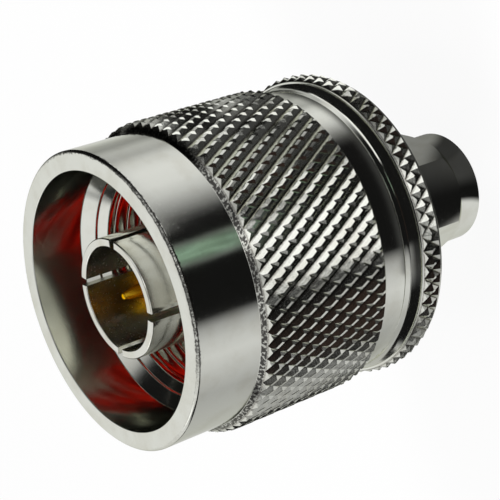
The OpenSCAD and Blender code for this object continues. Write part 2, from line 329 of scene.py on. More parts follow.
@dataclass(frozen=True)
class Knurl:
    """Diamond knurl: deep left-handed grooves, crossed by right-handed notches.

    Attributes:
        row: Height of a half row of teeth.
        lead: Distance of the first whole row's middle from the upper end.
        end_r: Radius of the plain wall at both ends.
        root_r: Radius of the groove bottoms.
        depth: Height of the crests above the groove bottoms.
        notch: Depth of the notches below the crests.
        crest: Half width of the crest's flat, as a share of the groove spacing.
        ease: Reach of the rounding at the crests.
        slope: Rise over run of the chamfer that leads up from each end.
        turn: Turn of the whole band about the axis, in teeth.
        teeth: Teeth around the circumference.
    """

    row: float
    lead: float
    end_r: float
    root_r: float = 10.3
    depth: float = 0.3
    notch: float = 0.14
    crest: float = 0.05
    ease: float = 0.03
    slope: float = 1.0
    turn: float = 0.0
    teeth: int = KNURL_TEETH

    def tooth(self, half_width: float) -> BMesh:
        """Makes one tooth, laid flat.

        Args:
            half_width: Half of a tooth's width around the circumference.

        Returns:
            The tooth with X around the circumference, Y along the axis and Z as its height.
        """
        bm = bmesh.new()
        bmesh.ops.create_grid(bm, x_segments=3, y_segments=3, size=0.5)
        rise = self.depth / (0.5 - self.crest)
        crest_end = 0.5 - self.notch / rise
        notch_end = 0.5 - (self.depth - self.notch) / rise
        border = 0.4
        for v in bm.verts:
            in_groove, in_notch = abs(v.co.x) > border, abs(v.co.y) > border
            s = 0.5 if in_groove else notch_end if in_notch else self.crest
            t = 0.5 if in_notch else crest_end
            h = 0.0 if in_groove else self.depth - self.notch if in_notch else self.depth
            s, t = math.copysign(s, v.co.x), math.copysign(t, v.co.y)
            v.co = ((s + t) * half_width, (s - t) * self.row, h)
        top = self.depth - WELD
        ridge = [e for e in bm.edges if all(v.co.z > top for v in e.verts)]
        round_off(bm, ridge, self.ease, EDGE_STEPS, Rounded.EDGES)
        return bm

    def end(self, bm: BMesh, y: float, up: int) -> None:
        """Cuts the flat teeth off at one end, with a chamfer that runs down to the plain wall.

        Args:
            bm: Mesh of the flat teeth.
            y: Place of the end along the axis.
            up: 1 at the upper end, -1 at the lower one.
        """
        base = self.end_r - self.root_r
        cut(bm, (0, y, 0), (0, up, 0))
        cut(bm, (0, y, base), (0, up * self.slope, 1))
        reach = y - up * (self.depth - base) / self.slope

        def on_cut(v: BMVert) -> bool:
            """Tells whether a vertex lies on the cut.

            Args:
                v: The vertex.

            Returns:
                True where it lies at the end or on the chamfer.
            """
            chamfer = base + (y - v.co.y) * up * self.slope
            near = up * (v.co.y - reach) > -WELD
            return near and (abs(v.co.y - y) < WELD or abs(v.co.z - chamfer) < WELD)

        rim = [e for e in bm.edges if e.is_boundary and all(on_cut(v) for v in e.verts)]
        made = bmesh.ops.extrude_edge_only(bm, edges=rim)["geom"]
        for v in (g for g in made if isinstance(g, BMVert)):
            v.co = (v.co.x, y, base)

    def band(self, z0: float, z1: float) -> BMesh:
        """Makes the whole knurled surface, open at both ends.

        Args:
            z0: Height of its lower end.
            z1: Height of its upper end.

        Returns:
            The band.
        """
        pitch = FULL_TURN / self.teeth
        half_width = (self.root_r + self.depth / 2) * pitch / 2
        bm = self.tooth(half_width)
        bmesh.ops.translate(bm, verts=bm.verts[:], vec=(0, self.row - self.lead, 0))
        first = everything(bm)
        for i in range(math.ceil((z1 - z0 - self.lead) / self.row) + 2):
            copy = bmesh.ops.duplicate(bm, geom=first)["geom"]
            verts = [g for g in copy if isinstance(g, BMVert)]
            side = half_width if i % 2 == 0 else 0
            bmesh.ops.translate(bm, verts=verts, vec=(side, -self.row * (i + 1), 0))
        weld(bm)
        self.end(bm, 0, 1)
        self.end(bm, z0 - z1, -1)
        for v in bm.verts:
            angle = (v.co.x / half_width - 1) * pitch / 2 + self.turn * pitch
            r = self.root_r + v.co.z
            v.co = (r * math.cos(angle), r * math.sin(angle), z1 + v.co.y)
        copies = self.teeth - 1
        spin(bm, everything(bm), pitch * copies, copies, use_duplicate=True)
        weld(bm)
        return bm

    def fill(self, bm: BMesh, z0: float, z1: float, seam: float) -> None:
        """Fills the gap in a turned wall with the knurl.

        Args:
            bm: Mesh of the wall, with an open rim below and above the gap.
            z0: Height of the knurl's lower end.
            z1: Height of its upper end.
            seam: Distance from each end to the wall's rim.
        """
        join(bm, self.band(z0, z1))
        bridge_between(bm, z0 - seam, z0)
        bridge_between(bm, z1, z1 + seam)


class Sheet:
    """A node tree that is filled in step by step."""

    def __init__(self, tree: NodeTree) -> None:
        """Empties the node tree of a material or the world."""
        self.tree = tree
        tree.nodes.clear()

    def add(self, kind: str, inputs: dict | None = None, **settings) -> Node:
        """Adds a node.

        Args:
            kind: Blender's name of the node type.
            inputs: Values or sockets for its inputs, by name or number.
            **settings: The node's own settings.

        Returns:
            The new node.
        """
        node = self.tree.nodes.new(kind)
        for name, value in settings.items():
            setattr(node, name, value)
        for key, value in (inputs or {}).items():
            if isinstance(value, NodeSocket):
                self.tree.links.new(value, node.inputs[key])
            else:
                node.inputs[key].default_value = value
        return node

    def math(self, operation: str, *values: Number, clamp: bool = False) -> NodeSocket:
        """Adds an operation on numbers, by Blender's name, kept from 0 to 1 if it is clamped."""
        node = self.add("ShaderNodeMath", dict(enumerate(values)), operation=operation, use_clamp=clamp)
        return node.outputs[0]

    def times(self, *factors: Number) -> Number:
        """Multiplies numbers.

        Args:
            *factors: Numbers or sockets, the first of them a socket.

        Returns:
            Socket with the product.
        """
        product = factors[0]
        for factor in factors[1:]:
            product = self.math("MULTIPLY", product, factor)
        return product

    def raised(self, base: Number, value: Number, factor: float) -> NodeSocket:
        """Adds a multiple of one number to another."""
        return self.math("MULTIPLY_ADD", value, factor, base)

    def either(self, first: Number, second: Number) -> NodeSocket:
        """Adds up two masks, to no more than 1."""
        return self.math("ADD", first, second, clamp=True)

    def noise(self, vector: NodeSocket, scale: float, detail: float) -> NodeSocket:
        """Adds noise around one half, with a scale in features per unit and octaves of detail."""
        return self.add("ShaderNodeTexNoise", {"Vector": vector, "Scale": scale, "Detail": detail}).outputs[0]

    def span(self, value: Number, low: float, high: float, to_low: float, to_high: float) -> NodeSocket:
        """Maps one range of numbers smoothly onto another, and holds its ends beyond.

        Args:
            value: Socket with the number.
            low: Start of the range.
            high: End of the range.
            to_low: Result at the start.
            to_high: Result at the end.

        Returns:
            The socket with the result.
        """
        node = self.add(
            "ShaderNodeMapRange",
            {"Value": value, "From Min": low, "From Max": high, "To Min": to_low, "To Max": to_high},
            interpolation_type="SMOOTHSTEP",
        )
        return node.outputs["Result"]

    def band(self, value: Number, start: float, full: float, fall: float, end: float) -> NodeSocket:
        """Adds a mask that rises softly from start to full, and falls from fall to end."""
        return self.times(self.span(value, start, full, 0, 1), self.span(value, fall, end, 1, 0))

    def blend(self, factor: NodeSocket, first: Colour | NodeSocket, second: Colour) -> NodeSocket:
        """Mixes two colours.

        Args:
            factor: Socket with the share of the second colour.
            first: First colour.
            second: Second colour.

        Returns:
            The socket with the colour.
        """
        node = self.add("ShaderNodeMix", {"Factor": factor}, data_type="RGBA")
        for name, value in (("A", first), ("B", second)):
            socket = next(s for s in node.inputs if s.name == name and s.type == "RGBA")
            if isinstance(value, NodeSocket):
                self.tree.links.new(value, socket)
            else:
                socket.default_value = (*value, 1)
        return next(s for s in node.outputs if s.type == "RGBA")

    def place(self) -> tuple[NodeSocket, NodeSocket, NodeSocket]:
        """Adds the place of the shaded point.

        Returns:
            Sockets with the point in millimetres, its radius, and radius and height as a vector.
        """
        where = self.add("ShaderNodeTexCoord").outputs["Object"]
        point = self.add("ShaderNodeVectorMath", {0: where, "Scale": 1 / MM}, operation="SCALE").outputs[0]
        parts = self.add("ShaderNodeSeparateXYZ", {0: point}).outputs
        flat = self.add("ShaderNodeCombineXYZ", {0: parts[0], 1: parts[1]}).outputs[0]
        radius = self.add("ShaderNodeVectorMath", {0: flat}, operation="LENGTH").outputs["Value"]
        ring = self.add("ShaderNodeCombineXYZ", {0: radius, 1: parts[2]}).outputs[0]
        return point, radius, ring

    def bearing(self) -> tuple[NodeSocket, NodeSocket, NodeSocket]:
        """Adds the direction of the shaded point, seen from the origin.

        Returns:
            Sockets with the azimuth in degrees, the point, and its distance in metres.
        """
        where = self.add("ShaderNodeTexCoord").outputs["Object"]
        parts = self.add("ShaderNodeSeparateXYZ", {0: where}).outputs
        angle = self.math("ARCTAN2", parts[1], parts[0])
        reach = self.add("ShaderNodeVectorMath", {0: where}, operation="LENGTH").outputs["Value"]
        return self.math("MULTIPLY", angle, 180 / math.pi), where, reach

    def around(self, azimuth: NodeSocket, levels: Levels) -> NodeSocket:
        """Adds light levels around the set.

        Args:
            azimuth: Socket with the azimuth in degrees.
            levels: Azimuths in rising order and the level at each.

        Returns:
            Socket with the level.
        """
        ramp = self.add("ShaderNodeValToRGB", {"Fac": self.raised(0.5, azimuth, 1 / 360)})
        stops = ramp.color_ramp.elements
        for i, (at, level) in enumerate(levels):
            place = at / 360 + 0.5
            stop = stops[i] if i < 2 else stops.new(place)
            stop.position = place
            stop.color = (level, level, level, 1)
        return ramp.outputs["Color"]

    def seen(self) -> NodeSocket:
        """Adds a mask for camera, glossy and transmission rays, which show a surface."""
        path = self.add("ShaderNodeLightPath").outputs
        return self.either(
            self.either(path["Is Camera Ray"], path["Is Glossy Ray"]), path["Is Transmission Ray"]
        )

    def glow(self, strength: Number, colour: tuple | NodeSocket = WHITE) -> NodeSocket:
        """Adds a surface that shines by itself."""
        return self.add("ShaderNodeEmission", {"Color": colour, "Strength": strength}).outputs[0]

    def mixed(self, share: NodeSocket, first: NodeSocket, second: NodeSocket) -> NodeSocket:
        """Mixes two surfaces, by the share of the second."""
        return self.add("ShaderNodeMixShader", {0: share, 1: first, 2: second}).outputs[0]

    def show(self, surface: NodeSocket) -> None:
        """Makes a surface the material's own."""
        self.add("ShaderNodeOutputMaterial", {"Surface": surface})


@dataclass(frozen=True)
class Finish:
    """A surface finish, made once as a material.

    Attributes:
        name: Name of the material, which differs from the names of the record's slots.
        slot: The record's slot that it belongs to. It is not used.
    """

    name: str
    slot: Slot

    def material(self) -> Material:
        """Makes the material, or finds it if it is made already.

        Returns:
            The material.
        """
        found = bpy.data.materials.get(self.name)
        if found:
            return found
        made = bpy.data.materials.new(self.name)
        made.use_nodes = True
        sheet = Sheet(made.node_tree)
        shader = sheet.add("ShaderNodeBsdfPrincipled")
        self.paint(sheet, shader)
        sheet.show(shader.outputs[0])
        return made

    def paint(self, sheet: Sheet, shader: Node) -> None:
        """Sets up the principled shader in the material's node tree."""
        raise NotImplementedError

    def link(
        self,
        sheet: Sheet,
        shader: Node,
        colour: NodeSocket,
        rough: NodeSocket,
        height: NodeSocket,
        depth: float,
    ) -> None:
        """Links what was painted to the shader.

        Args:
            sheet: Node tree of the material.
            shader: Its principled shader.
            colour: Socket with the colour.
            rough: Socket with the roughness.
            height: Socket with the height of the relief.
            depth: Depth of the relief, in millimetres.
        """
        bump = sheet.add("ShaderNodeBump", {"Height": height, "Strength": 1.0, "Distance": depth * MM})
        for name, socket in (("Base Color", colour), ("Roughness", rough), ("Normal", bump.outputs[0])):
            sheet.tree.links.new(socket, shader.inputs[name])


# Painted shade for the bottoms of the knurl's grooves
GROOVE_SHADE = (0.16, 0.14, 0.12)
# Painted shade for the inside of the contact's bore
BORE_SHADE = (0.28, 0.22, 0.15)
# Dark metal for the worn rim, and for the painted shade on the step up to the grip
WORN_AND_SHADED_METAL = (0.05, 0.048, 0.045)
# Radii, in millimetres, at which the slightly rougher wall of the large nut's mouth starts and ends
MOUTH_WALL = (8.6, 8.66, 8.7, 8.73)


@dataclass(frozen=True)
class Plate(Finish):
    """Plated metal over a turned surface, with lengths in millimetres.

    Attributes:
        tint: Colour of the clean plate.
        dull: Colour where it is stained.
        rough: Roughness of the clean plate.
        uneven: How much the roughness varies.
        marks: Depth of the turning marks and the grain.
        groove_shade: Radii where painted shade in the grooves may start, is full and ends, or nothing.
        step: Radii between which the step up to the grip is speckled with painted shade, or nothing.
        bore: Radius of the bore, inside which the plate is darkened with painted shade, or 0.
        rim: Radius plus height of the chamfered rim, which is worn on one side, or 0.
    """

    tint: Colour
    dull: Colour
    rough: float
    uneven: float
    marks: float
    groove_shade: tuple[float, float, float] | None = None
    step: tuple[float, float] | None = None
    bore: float = 0.0
    rim: float = 0.0

    def paint(self, sheet: Sheet, shader: Node) -> None:
        """Sets up the plate's colour, gloss and fine relief.

        Args:
            sheet: Node tree of the material.
            shader: Its principled shader.
        """
        point, radius, ring = sheet.place()
        cloud = sheet.noise(point, 0.55, 4)
        specks = sheet.noise(point, 7.0, 2)
        turned = sheet.noise(ring, 9.0, 3)
        colour = sheet.blend(sheet.span(cloud, 0.42, 0.72, 0, 1), self.tint, self.dull)
        rough = sheet.span(cloud, 0.3, 0.7, self.rough - self.uneven, self.rough + self.uneven)
        rough = sheet.math("ADD", rough, sheet.span(specks, 0.62, 0.74, 0, 0.1))
        relief = sheet.raised(turned, specks, 0.7)
        if self.groove_shade:
            start, floor, high = self.groove_shade
            depth = sheet.span(radius, floor, high, 1, 0)
            above = sheet.math("GREATER_THAN", radius, start)
            # Painted shade: the knurl is darker towards its groove bottoms, in specks
            groove_shade_mask = sheet.times(depth, above, sheet.span(specks, 0.3, 0.6, 0.35, 0.75))
            colour = sheet.blend(groove_shade_mask, colour, GROOVE_SHADE)
            knurled = sheet.span(radius, start - 0.1, floor, 0, 1)
            rough = sheet.raised(rough, knurled, 0.05)
            rough = sheet.raised(rough, sheet.band(radius, *MOUTH_WALL), 0.03)
            relief = sheet.raised(relief, sheet.times(specks, knurled), 18)
        if self.bore:
            # Painted shade: the plate is darker and browner inside the bore's radius
            inside = sheet.span(radius, self.bore - 0.02, self.bore, 0.2, 0)
            colour = sheet.blend(inside, colour, BORE_SHADE)
            rough = sheet.raised(rough, inside, 0.45)
        if self.rim:
            worn = self.wear(sheet, point, radius, specks)
            colour = sheet.blend(worn, colour, WORN_AND_SHADED_METAL)
            rough = sheet.raised(rough, worn, 0.2)
        if self.step:
            low, high = self.step
            # Painted shade: the step up to the grip is darkened in speckled patches
            shaded_step = sheet.band(radius, low - 0.03, low, high, high + 0.03)
            patchy = sheet.span(sheet.noise(point, 6.0, 3), 0.48, 0.62, 0.97, 0.3)
            colour = sheet.blend(sheet.times(shaded_step, patchy), colour, WORN_AND_SHADED_METAL)
        shader.inputs["Metallic"].default_value = 1.0
        shader.inputs["Specular Tint"].default_value = (*self.tint, 1)
        self.link(sheet, shader, colour, rough, relief, self.marks)

    def wear(self, sheet: Sheet, point: NodeSocket, radius: NodeSocket, specks: NodeSocket) -> NodeSocket:
        """Adds ragged wear along the chamfer of the rim, mostly on one side.

        Args:
            sheet: Node tree of the material.
            point: Socket with the shaded point, in millimetres.
            radius: Socket with its radius.
            specks: Socket with fine noise.

        Returns:
            Socket with the share of worn metal.
        """
        along, across, height = sheet.add("ShaderNodeSeparateXYZ", {0: point}).outputs
        ragged = sheet.raised(sheet.math("ADD", radius, height), sheet.noise(point, 3.0, 4), 0.35)
        return sheet.times(
            sheet.span(ragged, self.rim - 0.07, self.rim + 0.01, 0, 1),
            sheet.span(across, -2, 3, 1, 0.15),
            sheet.span(along, -7.5, -3.5, 0.15, 1),
            sheet.span(specks, 0.42, 0.6, 0.9, 0.4),
        )


@dataclass(frozen=True)
class Polymer(Finish):
    """Moulded or turned plastic or rubber.

    Attributes:
        tint: Colour of the surface.
        shade: Colour of its darker patches, or of its painted shade towards the inside.
        rough: Roughness.
        gloss: Strength of the gloss.
        glow: Share of light that passes under the surface.
        inner_shade: Radii, in millimetres, between which the painted shade towards the inside gives way to
            the tint, or nothing.
    """

    tint: Colour
    shade: Colour
    rough: float
    gloss: float
    glow: float
    inner_shade: tuple[float, float] | None = None

    def paint(self, sheet: Sheet, shader: Node) -> None:
        """Sets up the polymer's colour, gloss and fine relief.

        Args:
            sheet: Node tree of the material.
            shader: Its principled shader.
        """
        uneven, grain_depth, scatter = 0.08, 0.004, 0.4
        point, radius, _ = sheet.place()
        cloud = sheet.noise(point, 0.9, 3)
        grain = sheet.noise(point, 6.0, 2)
        patch = sheet.span(cloud, 0.35, 0.7, 0, 1)
        if self.inner_shade:
            # Painted shade: the gasket is darker towards the inside, where the sleeve shades it
            patch = sheet.span(sheet.raised(radius, cloud, 0.3), *self.inner_shade, 1, 0)
        colour = sheet.blend(patch, self.tint, self.shade)
        rough = sheet.span(grain, 0.3, 0.7, self.rough - uneven, self.rough + uneven)
        shader.inputs["Specular IOR Level"].default_value = self.gloss
        shader.inputs["Subsurface Weight"].default_value = self.glow
        shader.inputs["Subsurface Scale"].default_value = scatter * MM
        self.link(sheet, shader, colour, rough, grain, grain_depth)


NICKEL = Plate("bright_nickel", Slot.NICKEL, (0.79, 0.80, 0.74), (0.73, 0.73, 0.66), 0.1, 0.015, 0.0002)
GRIP = replace(NICKEL, name="grip_nickel", groove_shade=(10.29, 10.31, 10.4), step=(10.03, 10.27), rim=39.8)
FLANGE = replace(NICKEL, name="flange_nickel", groove_shade=(10.42, 10.44, 10.53))
CONTACT = Plate(
    "bright_contact", Slot.CONTACT, (0.80, 0.80, 0.74), (0.73, 0.72, 0.63), 0.14, 0.03, 0.0006, bore=3.53
)
GOLD = Plate("bright_gold", Slot.GOLD, (0.97, 0.57, 0.03), (0.90, 0.47, 0.02), 0.14, 0.03, 0.0006)
BRONZE = Plate("bare_bronze", Slot.BRONZE, (0.62, 0.46, 0.26), (0.48, 0.34, 0.18), 0.32, 0.06, 0.0012)
PTFE = Polymer("white_fluoropolymer", Slot.INSULATOR, (0.88, 0.88, 0.85), (0.80, 0.79, 0.75), 0.42, 0.4, 0.25)
SILICONE = Polymer(
    "moulded_silicone", Slot.SILICONE, (0.95, 0.012, 0.002), (0.12, 0.004, 0.002), 0.5, 0.04, 0.1, (5.6, 6.8)
)


def add_piece(name: str, bm: BMesh, body: Body, finish: Finish, *nodes: str) -> Object:
    """Turns a mesh in millimetres into a dressed piece that rides on a body.

    Args:
        name: Name of the piece.
        bm: Its mesh, which is freed.
        body: Body that it rides on.
        finish: Its finish.
        *nodes: CAD nodes that it stands for.

    Returns:
        The new object.
    """
    bmesh.ops.recalc_face_normals(bm, faces=bm.faces[:])
    bmesh.ops.scale(bm, vec=(MM, MM, MM), verts=bm.verts[:])
    mesh = bpy.data.meshes.new(name)
    bm.to_mesh(mesh)
    bm.free()
    mesh.shade_smooth()
    mesh.set_sharp_from_angle(angle=SMOOTH_ANGLE)
    mesh.materials.append(finish.material())
    obj = bpy.data.objects.new(name, mesh)
    bpy.context.scene.collection.objects.link(obj)
    normals = obj.modifiers.new("normals", "WEIGHTED_NORMAL")
    normals.keep_sharp = True
    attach(obj, body.value)
    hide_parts(*nodes)
    LOG.info("%s: %d faces, rides on %s, stands for %s", name, len(mesh.polygons), body.value, nodes)
    return obj


@dataclass
class LargeNut:
    """Large coupling nut with its knurled grip and thread, in millimetres."""

    collar_r: float = 10.0
    front_l: float = 4.77
    rear_l: float = 1.7
    edge: float = 0.15
    rear_edge: float = 0.05
    seam: float = 0.04
    mouth_r: float = 8.68
    mouth_l: float = 3.85
    mouth_edge: float = 0.05
    major_r: float = 7.94
    minor_r: float = 7.43
    land_l: float = 0.16
    thread_l: float = 4.9
    pitch: float = 1.058
    groove_w: float = 0.17
    groove_l: float = 0.22
    run_in: tuple[float, float] = (0.3, 0.4)
    run_out: float = 0.55
    relief_r: float = 8.05
    relief_l: float = 2.35
    bore_r: float = 6.95
    groove_r: float = 7.6
    groove_z: tuple[float, float] = (14.5, 15.5)
    knurl: Knurl = field(default_factory=lambda: Knurl(0.877, 0.18, 10.0, notch=0.17, crest=0.06))

    def build(self) -> None:
        """Builds and dresses the nut."""
        whole = extent("n_coupling_nut")
        grip_z0, grip_z1 = whole.z0 + self.rear_l, whole.z1 - self.front_l
        mouth_z = whole.z1 - self.mouth_l
        land_z1 = mouth_z - (self.mouth_r - self.major_r)
        land_z0 = land_z1 - self.land_l
        lip_z = land_z0 - (self.major_r - self.minor_r)
        thread_z0 = lip_z - self.thread_l
        relief_z0 = thread_z0 - self.relief_l
        outline = [
            (self.collar_r, grip_z1 + self.seam),
            (self.collar_r, whole.z1 - self.edge, 0.05),
            (self.collar_r - self.edge, whole.z1, 0.05),
            (self.mouth_r + self.mouth_edge, whole.z1, 0.03),
            (self.mouth_r, whole.z1 - self.mouth_edge, 0.03),
            (self.mouth_r, mouth_z, 0.04),
            (self.major_r, land_z1, 0.03),
            (self.major_r, land_z0, 0.03),
            (self.minor_r, lip_z, 0.05),
            (self.minor_r, lip_z - self.run_in[0]),
            (self.minor_r + self.groove_l, lip_z - self.run_in[1]),
            (self.minor_r + self.groove_l, thread_z0),
            (self.relief_r, thread_z0),
            (self.relief_r, relief_z0),
            (self.bore_r, relief_z0),
            (self.bore_r, self.groove_z[1]),
            (self.groove_r, self.groove_z[1]),
            (self.groove_r, self.groove_z[0]),
            (self.bore_r, self.groove_z[0]),
            (self.bore_r, whole.z0),
            (self.collar_r - self.rear_edge, whole.z0, 0.02),
            (self.collar_r, whole.z0 + self.rear_edge, 0.02),
            (self.collar_r, grip_z0 - self.seam),
        ]
        bm = lathe(outline, closed=False, steps=FINE_STEPS)
        self.knurl.fill(bm, grip_z0, grip_z1, self.seam)
        low, high = thread_z0 + self.run_out, lip_z - self.pitch / 2
        join(bm, thread(self.minor_r, self.groove_l, self.pitch, self.groove_w, low, high))
        add_piece("large_nut", bm, Body.LARGE_NUT, GRIP, "n_coupling_nut")


@dataclass
class AdapterBody:
    """Turned body with the knurled flange between the two nuts, in millimetres."""

    flange_l: float = 1.84
    flange_drop: float = 0.08
    flange_grow: float = 0.13
    flange_edge: float = 0.1
    lip_l: float = 0.12
    lip_drop: float = 0.32
    seam: float = 0.03
    neck_r: float = 9.9
    neck_l: float = 1.02
    cone_r: float = 10.28
    cone_l: float = 0.62
    cone_bend: tuple[float, float] = (10.065, 0.31)
    barrel_r: float = 6.9
    seat_r: float = 6.25
    seat_z: tuple[float, float] = (14.58, 15.42)
    boss_r: float = 4.6
    boss_l: float = 0.92
    web_bore_r: float = 3.0
    web_z: tuple[float, float] = (13.8, 14.8)
    large_seat_r: float = 4.42
    small_seat_r: float = 3.42
    knurl: Knurl = field(
        default_factory=lambda: Knurl(0.71, 0.71, 10.41, root_r=10.43, notch=0.28, turn=0.13)
    )

    def build(self) -> None:
        """Builds and dresses the body."""
        whole = extent("adapter_body")
        z0 = whole.z0 + self.boss_l - self.flange_drop
        z1 = z0 + self.flange_l
        neck_z1 = z1 + self.neck_l
        lip_r = whole.r + self.flange_grow - self.lip_drop
        grip_z0, grip_z1 = z0 + self.flange_edge + self.lip_l, z1 - self.lip_l
        outline = [
            (lip_r, grip_z1 + self.seam),
            (lip_r, z1, 0.03),
            (self.cone_r, z1),
            (self.cone_bend[0], z1 + self.cone_bend[1], 0.1),
            (self.neck_r, z1 + self.cone_l, 0.13),
            (self.neck_r, neck_z1, 0.04),
            (self.barrel_r, neck_z1),
            (self.barrel_r, self.seat_z[0]),
            (self.seat_r, self.seat_z[0]),
            (self.seat_r, self.seat_z[1]),
            (self.barrel_r, self.seat_z[1]),
            (self.barrel_r, whole.z1, 0.1),
            (self.large_seat_r, whole.z1),
            (self.large_seat_r, self.web_z[1]),
            (self.web_bore_r, self.web_z[1]),
            (self.web_bore_r, self.web_z[0]),
            (self.small_seat_r, self.web_z[0]),
            (self.small_seat_r, whole.z0),
            (self.boss_r, whole.z0, 0.06),
            (self.boss_r, z0, 0.06),
            (lip_r - self.flange_edge, z0, 0.03),
            (lip_r, z0 + self.flange_edge, 0.03),
            (lip_r, grip_z0 - self.seam),
        ]
        bm = lathe(outline, closed=False, steps=FINE_STEPS)
        self.knurl.fill(bm, grip_z0, grip_z1, self.seam)
        add_piece("adapter_body", bm, Body.FIXED, FLANGE, "adapter_body")


@dataclass
class LargePlug:
    """Contacts, insulator and gasket inside the large nut, in millimetres."""

    bore_r: float = 3.5
    bore_edge: float = 0.05
    relief: float = 0.04
    tip_r: float = 4.05
    tip_l: float = 3.4
    edge: float = 0.07
    slot_edge: float = 0.025
    slot_edge_angle: float = 50.0
    hub_l: float = 1.8
    shank_r: float = 4.4
    slot_w: float = 0.5
    slot_l: float = 5.5
    slots: int = 4
    slot_turn: float = 62.0
    slot_steps: int = 4
    finger_steps: int = 28
    pin_r: float = 0.8
    pin_tip_r: float = 0.2
    pin_taper_l: float = 2.8
    pin_l: float = 4.8
    line_r: float = 1.52
    socket_r: float = 0.655
    socket_l: float = 1.8

    def build(self) -> None:
        """Builds and dresses every piece of the plug."""
        self.outer_contact()
        bead = washer(self.line_r + PRESS_GAP, extent("n_insulator"), 0, 0, 0.08, 0.08)
        add_piece("large_insulator", bead, Body.FIXED, PTFE, "n_insulator")
        self.centre_contact()
        seal = washer(extent("n_outer_contact").r + PRESS_GAP, extent("n_gasket"), 0, 0, 0.2, 0.1)
        add_piece("large_gasket", seal, Body.FIXED, SILICONE, "n_gasket")

    def outer_contact(self) -> None:
        """Builds the slotted sleeve with its hub and shank."""
        whole, seat = extent("n_outer_contact"), extent("n_gasket").z0
        slot_z = whole.z1 - self.slot_l
        tip_z0 = whole.z1 - self.tip_l
        relief_r = self.tip_r - self.relief
        hub_z1 = seat + self.hub_l
        outline = [
            (self.bore_r, whole.z0),
            (self.shank_r, whole.z0),
            (self.shank_r, seat),
            (whole.r, seat),
            (whole.r, hub_z1, 0.05),
            (relief_r, hub_z1),
            (relief_r, slot_z),
            (relief_r, tip_z0 - self.relief, 0.02),
            (self.tip_r, tip_z0, 0.04),
            (self.tip_r, whole.z1 - self.edge, 0.02),
            (self.tip_r - self.edge, whole.z1, 0.02),
            (self.bore_r + self.bore_edge, whole.z1, 0.02),
            (self.bore_r, whole.z1 - self.bore_edge, 0.02),
            (self.bore_r, slot_z),
        ]
        bm = self.slotted(outline, slot_z)
        obj = add_piece("large_outer_contact", bm, Body.FIXED, CONTACT, "n_outer_contact")
        edges = obj.modifiers.new("edges", "BEVEL")
        edges.width = self.slot_edge * MM
        edges.segments = EDGE_STEPS
        edges.limit_method = "ANGLE"
        edges.angle_limit = math.radians(self.slot_edge_angle)

    def slotted(self, outline: Outline, slot_z: float) -> BMesh:
        """Turns an outline and cuts the spring slots into it.

        Args:
            outline: Closed outline with corners at the slots' bottom.
            slot_z: Height of the slots' bottom.

        Returns:
            The closed, slotted mesh.
        """
        bm = draw(outline, closed=True)
        share = FULL_TURN / self.slots
        gap = 2 * math.asin(self.slot_w / 2 / ((self.bore_r + self.tip_r) / 2))
        start = math.radians(self.slot_turn) + gap / 2
        bmesh.ops.rotate(bm, verts=bm.verts[:], cent=(0, 0, 0), matrix=Matrix.Rotation(start, 3, "Z"))
        last = bm.verts[:] + bm.edges[:]
        for _ in range(self.slots):
            last = spin(bm, last, share - gap, self.finger_steps)
            last = spin(bm, last, gap, self.slot_steps)
        weld(bm)

        def in_slot(co: Vector) -> bool:
            """Tells whether a point lies above a slot's bottom, past the end of its finger."""
            return co.z > slot_z and (math.atan2(co.y, co.x) - start) % share > share - gap

        cut_out = [f for f in bm.faces if in_slot(f.calc_center_median())]
        bmesh.ops.delete(bm, geom=cut_out, context="FACES")
        self.close_slots(bm, slot_z)
        return bm

    def close_slots(self, bm: BMesh, slot_z: float) -> None:
        """Adds the walls and bottoms of the cut slots.

        Args:
            bm: Mesh with open slots.
            slot_z: Height of the slots' bottom.
        """
        near = 0.01
        sides: dict[int, list] = {}
        for e in [e for e in bm.edges if e.is_boundary]:
            a, b = (math.degrees(math.atan2(v.co.y, v.co.x)) for v in e.verts)
            if abs(a - b) < near:
                sides.setdefault(round(a * 10), []).append(e)
        for chain in sides.values():
            ends = [v for e in chain for v in e.verts if abs(v.co.z - slot_z) < near]
            rung = bm.edges.new(ends)
            bmesh.ops.edgeloop_fill(bm, edges=chain + [rung])
        arcs = [e for e in bm.edges if e.is_boundary and all(abs(v.co.z - slot_z) < near for v in e.verts)]
        bmesh.ops.edgeloop_fill(bm, edges=arcs)

    def centre_contact(self) -> None:
        """Builds the gold pin."""
        whole = extent("n_center_contact")
        shoulder = whole.z1 - self.pin_l
        socket_z1 = whole.z0 + self.socket_l
        outline = [
            (0, whole.z1),
            (self.pin_tip_r, whole.z1, 0.08),
            (self.pin_r, whole.z1 - self.pin_taper_l, 0.3),
            (self.pin_r, shoulder, 0.05),
            (self.line_r, shoulder, 0.12),
            (self.line_r, whole.z0),
            (self.socket_r, whole.z0),
            (self.socket_r, socket_z1),
            (0, socket_z1),
        ]
        bm = lathe(outline, closed=False, steps=PIN_STEPS)
        add_piece("large_centre_contact", bm, Body.FIXED, GOLD, "n_center_contact")


